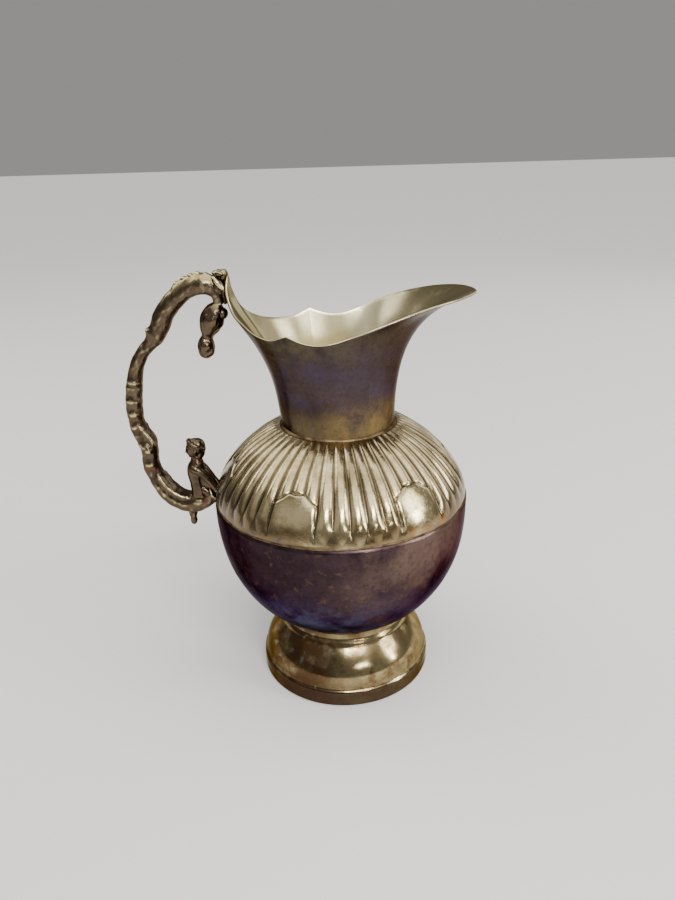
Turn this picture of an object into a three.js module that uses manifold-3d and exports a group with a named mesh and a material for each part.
// A brass ewer, 227 mm tall: a spun foot, a two-part belly with a reeded shoulder, a shaped neck
// with a pouring lip, and a cast branch handle with a leaf, a hanging bud and a small half figure.
// Millimetres, +Z up. The spout points along +X and the handle along -X.
import * as THREE from "three";
import { mergeVertices } from "three/addons/utils/BufferGeometryUtils.js";
import Module from "manifold-3d";

const wasm = await Module();
wasm.setup();

// ---- driving dimensions ----
const SHEET = 1.2; // thickness of the spun sheet
const GAP = 0.35; // clearance between pieces that touch
const ROUND_SIDES = 40; // segments round a turned piece

const FOOT = {
  radius: 48,
  turnedEdge: 3.5, // width of the base edge turned in under the foot
  bandTop: [47.5, 8.4], // radius and height of the top of the plain base band
  domeStart: [46.1, 9.8],
  domeFullness: [[46.3, 16.5], [43, 22]], // control points of the dome's curve
  domeEnd: [35.8, 30.6],
  collar: [36.2, 31.6], // the fine raised line under the throat
  throat: [33.6, 34.4],
  lip: [34.4, 37.2],
};

const BELLY = { radius: 67.4, height: 105, depth: 74, roundness: 2.3 }; // a superellipse
const SEAM_Z = 107.5; // where the bowl steps in under the shoulder
const LAP_TOP = 112.5; // how far the bowl's lip reaches up inside the shoulder
const LAP_INSET = 1.9; // how far that lip lies inside the shoulder's outside

const SHOULDER = { radius: 67.5, rise: 49.7, roundness: 1.75, edgeZ: 109, topRadius: 30.7 };
const REED = { height: 0.55, lobeTop: 130, lobeCorner: 124.5, fadeTop: 145 };
const FAN_REEDS = 5; // long reeds in a fan
const LOBE_REEDS = [3, 4, 3, 3, 3, 3]; // short reeds over the plain lobe after each fan
const REED_COUNT = LOBE_REEDS.reduce((sum, reeds) => sum + reeds + FAN_REEDS, 0);
const FIRST_FAN = THREE.MathUtils.degToRad(-93); // edge of the fan on the near side

const NECK = { radius: 29.4, baseZ: 147.6, spigotZ: 141.5 };
// Rim, from the pouring lip to the small cusp at 120 degrees, then on to the handle's tongue:
// degrees from the lip, radius, height.
const RIM_LIP = [
  [0, 68.2, 213.4], [14, 63.4, 213], [30, 55, 210.8], [50, 47.3, 206.2],
  [70, 41, 200.4], [90, 35.4, 195.8], [106, 35.2, 196], [120, 37.3, 199],
];
const RIM_TONGUE = [
  [120, 37.3, 199], [135, 38.2, 195.8], [150, 41, 196.2], [162, 44.8, 198.8],
  [170, 50.5, 204.5], [175, 53.8, 215], [180, 53.4, 222.4],
];
const RIM_LIP_STEPS = 18;
const RIM_TONGUE_STEPS = 12;
// How the wall climbs from the neck's foot to the rim, as a share of the way out and up. On the
// handle's side every part of the rim lies on the one wall that climbs to the tongue's tip.
const NECK_AT_LIP = new THREE.CubicBezierCurve(xy(0, 0), xy(0, 0.6), xy(0.3, 0.9), xy(1, 1));
const NECK_AT_SIDE = new THREE.CubicBezierCurve(xy(0, 0), xy(0, 0.33), xy(0.33, 0.67), xy(1, 1));
const NECK_AT_TONGUE = new THREE.CubicBezierCurve(xy(0, 0), xy(0.15, 0.7), xy(1.3, 0.7), xy(1, 1));

// Branch of the handle: x, z and radius along it, from beside the rim down to the belly.
const BRANCH = [
  [-58.6, 208.6, 2.6], [-59.2, 213, 3.2], [-63, 217.4, 4.6], [-68, 218.2, 4.9], [-76, 215, 4.9],
  [-87.2, 204.4, 5], [-92.4, 194.4, 4.9], [-97.4, 187.8, 3.7], [-103.4, 181.2, 3.6],
  [-107.2, 173, 4.1], [-110.5, 152, 4.7], [-109.8, 140.5, 4.6], [-106, 130.6, 5.1], [-105, 118, 4.8],
  [-98.8, 104.2, 5.4], [-88.5, 96.8, 5.8], [-79, 98.4, 5.2], [-72.6, 102.8, 4.2],
];
const BUD = [
  [-58.6, 205.4, 3.4], [-61.8, 201.6, 5.8], [-65, 196, 4.6],
  [-66.6, 191.4, 3.3], [-67.4, 186.4, 4.2], [-67.4, 181.4, 3],
];
const FINIAL = [[0, 90.4], [1.9, 90], [1.7, 88.4], [2.3, 86], [1.9, 83.8], [0, 82.4]];
const FINIAL_X = -84.8;

const BRASS = 0xa3905f;
const DARK_BRASS = 0x4f4244;
const SOLDER = 0x9c7248;

function xy(x, y) {
  return new THREE.Vector2(x, y);
}

function brass(color, roughness) {
  return new THREE.MeshStandardMaterial({ color, metalness: 1, roughness });
}

// ---- geometry helpers ----

function signedVolume(geometry) {
  const at = geometry.attributes.position;
  const corner = (i) => new THREE.Vector3().fromBufferAttribute(at, geometry.index.getX(i));
  let volume = 0;
  for (let i = 0; i < geometry.index.count; i += 3) {
    volume += corner(i).dot(corner(i + 1).cross(corner(i + 2))) / 6;
  }
  return volume;
}

// A geometry with shared corners merged and its faces turned outwards.
function closed(geometry) {
  const bare = geometry.index ? geometry.clone() : geometry;
  bare.deleteAttribute("normal");
  bare.deleteAttribute("uv");
  const merged = mergeVertices(bare, 1e-4);
  const order = merged.index.array;
  const kept = [];
  const flip = signedVolume(merged) < 0;
  for (let i = 0; i < order.length; i += 3) {
    const [a, b, c] = [order[i], order[i + 1], order[i + 2]];
    if (a === b || b === c || a === c) continue;
    kept.push(a, flip ? c : b, flip ? b : c);
  }
  merged.setIndex(kept);
  merged.computeVertexNormals();
  return merged;
}

// A solid of revolution about Z from [radius, height] points.
function turned(profile, sides = ROUND_SIDES) {
  const lathe = new THREE.LatheGeometry(profile.map(([r, z]) => xy(r, z)), sides);
  return closed(lathe.rotateX(Math.PI / 2));
}

// A ring-shaped solid from closed outlines, one after another round the axis.
function wrapped(outlines) {
  const rows = outlines[0].length;
  const index = [];
  outlines.forEach((_, i) => {
    const here = i * rows;
    const there = ((i + 1) % outlines.length) * rows;
    for (let j = 0; j < rows; j++) {
      const up = (j + 1) % rows;
      index.push(here + j, there + j, there + up, here + j, there + up, here + up);
    }
  });
  const geometry = new THREE.BufferGeometry();
  const numbers = outlines.flat().flatMap((point) => point.toArray());
  geometry.setAttribute("position", new THREE.Float32BufferAttribute(numbers, 3));
  geometry.setIndex(index);
  return closed(geometry);
}

// A round bar of changing thickness along points of [x, z, radius] in the plane y = 0.
function bar(stations, steps, sides = 10) {
  const centre = new THREE.CatmullRomCurve3(stations.map(([x, z]) => new THREE.Vector3(x, 0, z)));
  const radii = new THREE.CatmullRomCurve3(stations.map(([, , r], i) => new THREE.Vector3(r, i, 0)));
  const across = new THREE.Vector3(0, 1, 0);
  const points = [centre.getPoint(0)];
  for (let i = 0; i <= steps; i++) {
    const out = new THREE.Vector3().crossVectors(across, centre.getTangent(i / steps));
    for (let k = 0; k < sides; k++) {
      const turn = (k / sides) * 2 * Math.PI;
      const spoke = out.clone().multiplyScalar(Math.cos(turn)).addScaledVector(across, Math.sin(turn));
      points.push(centre.getPoint(i / steps).addScaledVector(spoke, radii.getPoint(i / steps).x));
    }
  }
  points.push(centre.getPoint(1));
  const index = [];
  const last = points.length - 1;
  for (let k = 0; k < sides; k++) {
    const next = (k + 1) % sides;
    index.push(0, 1 + next, 1 + k);
    index.push(last, last - sides + k, last - sides + next);
    for (let i = 0; i < steps; i++) {
      const low = 1 + i * sides;
      const high = low + sides;
      index.push(low + k, low + next, high + next, low + k, high + next, high + k);
    }
  }
  const geometry = new THREE.BufferGeometry().setFromPoints(points);
  geometry.setIndex(index);
  return closed(geometry);
}

function ball(centre, radii, wide = 12, high = 8) {
  const sphere = new THREE.SphereGeometry(1, wide, high).rotateX(Math.PI / 2);
  return closed(sphere.scale(...radii).translate(...centre));
}

function toManifold(geometry) {
  const vertProperties = new Float32Array(geometry.attributes.position.array);
  const triVerts = new Uint32Array(geometry.index.array);
  return new wasm.Manifold(new wasm.Mesh({ numProp: 3, vertProperties, triVerts }));
}

function joined(geometries) {
  const mesh = geometries.map(toManifold).reduce((whole, piece) => whole.add(piece)).getMesh();
  const geometry = new THREE.BufferGeometry();
  geometry.setAttribute("position", new THREE.Float32BufferAttribute(mesh.vertProperties, 3));
  geometry.setIndex(Array.from(mesh.triVerts));
  return closed(geometry);
}

// The inside of a sheet whose outside is a list of [radius, height], from bottom to top.
function sheetInside(outside, thickness) {
  return outside.map(([r, z], i) => {
    const [r0, z0] = outside[Math.max(i - 1, 0)];
    const [r1, z1] = outside[Math.min(i + 1, outside.length - 1)];
    const length = Math.hypot(r1 - r0, z1 - z0);
    return [r - ((z1 - z0) / length) * thickness, z + ((r1 - r0) / length) * thickness];
  });
}

// ---- spun sheet pieces ----

function foot() {
  const domeFrom = xy(...FOOT.domeStart);
  const domeTo = xy(...FOOT.domeEnd);
  const [low, high] = FOOT.domeFullness;
  const dome = new THREE.CubicBezierCurve(domeFrom, xy(...low), xy(...high), domeTo);
  const outside = [
    [FOOT.radius, SHEET],
    FOOT.bandTop,
    ...dome.getPoints(6).map((point) => point.toArray()),
    FOOT.collar,
    FOOT.throat,
    FOOT.lip,
  ];
  const inside = sheetInside(outside, SHEET).filter((_, i) => i % 2 === 1).reverse();
  const edge = FOOT.radius - FOOT.turnedEdge;
  const baseInside = [[FOOT.radius - SHEET, SHEET], [edge, SHEET], [edge, 0], [FOOT.radius, 0]];
  return turned([...outside, ...inside, ...baseInside, outside[0]]);
}

function bellyRadius(z, inset) {
  const share = (BELLY.height - z) / (BELLY.depth - inset);
  return (BELLY.radius - inset) * (1 - share ** BELLY.roundness) ** (1 / BELLY.roundness);
}

// Points of the bowl's side from the axis at the bottom up to the belly line.
function bowlSide(inset, steps) {
  const points = [];
  for (let i = 0; i <= steps; i++) {
    const angle = (i / steps) * (Math.PI / 2);
    const up = Math.cos(angle) ** (2 / BELLY.roundness);
    const z = BELLY.height - (BELLY.depth - inset) * up;
    points.push([i === 0 ? 0 : bellyRadius(z, inset), z]);
  }
  return points;
}

function shoulderRadius(z) {
  const share = (z - BELLY.height) / SHOULDER.rise;
  return SHOULDER.radius * (1 - share ** SHOULDER.roundness) ** (1 / SHOULDER.roundness);
}

function lowerBowl() {
  const lip = (z, inset) => [shoulderRadius(z) - LAP_INSET - inset, z];
  const outside = [...bowlSide(0, 9), [BELLY.radius, SEAM_Z], lip(SEAM_Z + GAP, 0), lip(LAP_TOP, 0)];
  const inside = [lip(LAP_TOP, SHEET), lip(SEAM_Z - 1, SHEET), ...bowlSide(SHEET, 7).reverse()];
  return turned([...outside, ...inside]);
}

// Which reed an angle falls in, and whether that reed is a short one over a lobe.
function reedAt(angle) {
  const pitch = (2 * Math.PI) / REED_COUNT;
  const turn = THREE.MathUtils.euclideanModulo(angle - FIRST_FAN, 2 * Math.PI) / pitch;
  let start = 0;
  for (const reeds of LOBE_REEDS) {
    const lobeStart = start + FAN_REEDS;
    if (turn >= lobeStart && turn < lobeStart + reeds) {
      return { turn, acrossLobe: (turn - lobeStart) / reeds };
    }
    start = lobeStart + reeds;
  }
  return { turn, acrossLobe: null };
}

// Height of the reeded surface over the plain shoulder.
function reedHeight(angle, z) {
  const { turn, acrossLobe } = reedAt(angle);
  const fadeIn = THREE.MathUtils.smoothstep(z, SHOULDER.edgeZ + 3, SHOULDER.edgeZ + 9);
  const fadeOut = 1 - THREE.MathUtils.smoothstep(z, REED.fadeTop - 5, REED.fadeTop);
  let strength = fadeIn * fadeOut;
  if (acrossLobe !== null) {
    const arch = REED.lobeCorner + (REED.lobeTop - REED.lobeCorner) * Math.sin(Math.PI * acrossLobe);
    strength *= THREE.MathUtils.smoothstep(z, arch - 1, arch + 1);
  }
  return -REED.height * strength * Math.cos(2 * Math.PI * turn);
}

function flutedShoulder() {
  const heights = [SHOULDER.edgeZ, 113, 118, 124, 129, 134, 139, 143.5];
  const topShare = (SHOULDER.topRadius / SHOULDER.radius) ** SHOULDER.roundness;
  heights.push(BELLY.height + SHOULDER.rise * (1 - topShare) ** (1 / SHOULDER.roundness));
  const plain = heights.map((z) => [shoulderRadius(z), z]);
  const inside = sheetInside(plain, SHEET).filter((_, i) => i % 2 === 0).reverse();
  const columns = REED_COUNT * 2; // one on each crest and one in each groove
  const outlines = [];
  for (let i = 0; i < columns; i++) {
    const angle = FIRST_FAN + (i / columns) * 2 * Math.PI;
    const at = (r, z) => new THREE.Vector3(r * Math.cos(angle), r * Math.sin(angle), z);
    const outer = plain.map(([r, z]) => at(r + reedHeight(angle, z), z));
    outlines.push([...outer, ...inside.map(([r, z]) => at(r, z))]);
  }
  return wrapped(outlines);
}

// The share of the tongue's curve at which it has climbed to a given share of its height.
function tongueShare(height) {
  let [low, high] = [0, 1];
  while (high - low > 1e-4) {
    const middle = (low + high) / 2;
    if (NECK_AT_TONGUE.getPoint(middle).y < height) low = middle;
    else high = middle;
  }
  return high;
}

// A point of the tongue's wall under a rim point that lies part of the way up it.
function tonguePoint(t, rimHeight) {
  const share = tongueShare(rimHeight);
  const end = NECK_AT_TONGUE.getPoint(share);
  return NECK_AT_TONGUE.getPoint(t * share).divide(end);
}

// Points of half the rim, from the lip round to the tongue, on the +Y side.
function halfRim() {
  const curve = (knots) => new THREE.CatmullRomCurve3(knots.map(([degrees, r, z]) => {
    const angle = THREE.MathUtils.degToRad(degrees);
    return new THREE.Vector3(r * Math.cos(angle), r * Math.sin(angle), z);
  }));
  const lip = curve(RIM_LIP).getSpacedPoints(RIM_LIP_STEPS);
  return [...lip, ...curve(RIM_TONGUE).getSpacedPoints(RIM_TONGUE_STEPS).slice(1)];
}

function neckSpout() {
  const half = halfRim();
  const tipHeight = half.at(-1).z - NECK.baseZ;
  const mirrored = half.slice(1, -1).reverse().map((p) => new THREE.Vector3(p.x, -p.y, p.z));
  const outlines = [...half, ...mirrored].map((rim) => {
    const angle = Math.atan2(rim.y, rim.x);
    const reach = Math.hypot(rim.x, rim.y) - NECK.radius;
    const lip = 1 - THREE.MathUtils.smoothstep(Math.abs(angle), 0.3, 1.5);
    const tongue = THREE.MathUtils.smoothstep(Math.abs(angle), 2.3, 2.75);
    const outside = [[NECK.radius, NECK.spigotZ]];
    for (const t of [0, 0.2, 0.4, 0.55, 0.7, 0.85, 1]) {
      const shape = NECK_AT_SIDE.getPoint(t);
      shape.lerp(NECK_AT_LIP.getPoint(t), lip);
      shape.lerp(tonguePoint(t, (rim.z - NECK.baseZ) / tipHeight), tongue);
      outside.push([NECK.radius + reach * shape.x, NECK.baseZ + (rim.z - NECK.baseZ) * shape.y]);
    }
    const inside = sheetInside(outside, SHEET).reverse();
    const at = ([r, z]) => new THREE.Vector3(r * Math.cos(angle), r * Math.sin(angle), z);
    return [...outside, ...inside].map(at);
  });
  return wrapped(outlines);
}

// ---- solder between the pieces ----

function footSolder() {
  const [r, z] = FOOT.lip;
  return turned([[r + 1.1, z + 0.9], [r + 2.8, z + 1.7], [r + 1, z - 0.9], [r + 1.1, z + 0.9]]);
}

function bellySolder() {
  const low = SEAM_Z + GAP + 0.2;
  const high = SHOULDER.edgeZ - GAP;
  const inner = BELLY.radius - 1.5;
  const outer = BELLY.radius + 0.1;
  return turned([[inner, low], [outer, low], [outer - 0.2, high], [inner, high], [inner, low]]);
}

function neckSolder() {
  const r = NECK.radius + GAP + 0.3;
  return turned([[r, 147.9], [r + 1.7, 147.2], [r, 149.6], [r, 147.9]]);
}

function solderPad(x, z, width, height) {
  return ball([x, 0, z], [GAP, width / 2, height / 2], 10, 8);
}

// ---- cast pieces ----

function leaf() {
  const blade = ball([-56.4, 0, 224.9], [4.6, 4.4, 1.8]);
  const stalk = ball([-59.4, 0, 224.4], [3, 2.4, 1.6]);
  return joined([blade, stalk]);
}

function figure() {
  const arm = (side) => bar([[-79.5, 117.6, 1.9], [-75, 114.4, 2], [-70.4, 108.6, 1.7]], 6, 8)
    .translate(0, side * 3.6, 0);
  return joined([
    ball([-79.6, 0, 109.3], [5, 4.9, 5.1]),
    ball([-80, 0, 115.6], [4.5, 4.8, 6.4]),
    ball([-74.4, 0, 111.8], [4.4, 3.4, 4.2]),
    ball([-79.2, 0, 122.4], [3, 3, 3.4]),
    ball([-79.2, 0, 129.2], [4.7, 4.3, 5.7]),
    ball([-76.4, 0, 130.6], [4.4, 4.2, 4.2]),
    arm(1),
    arm(-1),
  ]);
}

function finial() {
  return turned(FINIAL, 12).translate(FINIAL_X, 0, 0);
}

// ---- the jug ----

const pieces = {
  foot: [foot(), brass(BRASS, 0.3)],
  lower_bowl: [lowerBowl(), brass(DARK_BRASS, 0.4)],
  fluted_shoulder: [flutedShoulder(), brass(BRASS, 0.3)],
  neck_spout: [neckSpout(), brass(DARK_BRASS, 0.35)],
  foot_solder: [footSolder(), brass(SOLDER, 0.5)],
  belly_solder: [bellySolder(), brass(SOLDER, 0.5)],
  neck_solder: [neckSolder(), brass(SOLDER, 0.5)],
  handle_branch: [bar(BRANCH, 54), brass(BRASS, 0.35)],
  handle_bud: [bar(BUD, 12), brass(BRASS, 0.35)],
  handle_leaf: [leaf(), brass(BRASS, 0.35)],
  handle_figure: [figure(), brass(BRASS, 0.35)],
  handle_finial: [finial(), brass(BRASS, 0.35)],
  rim_braze: [solderPad(-54.95, 213.4, 6, 9), brass(SOLDER, 0.5)],
  belly_braze: [solderPad(-68.05, 103.6, 7, 7), brass(SOLDER, 0.5)],
};

const jug = new THREE.Group();
for (const [name, [geometry, material]] of Object.entries(pieces)) {
  const mesh = new THREE.Mesh(geometry, material);
  mesh.name = name;
  jug.add(mesh);
}

// The origin is the middle of the jug's own box, on the surface that it stands on.
const box = new THREE.Box3().setFromObject(jug);
jug.position.x = -(box.min.x + box.max.x) / 2;

const root = new THREE.Group();
root.add(jug);

export default root;
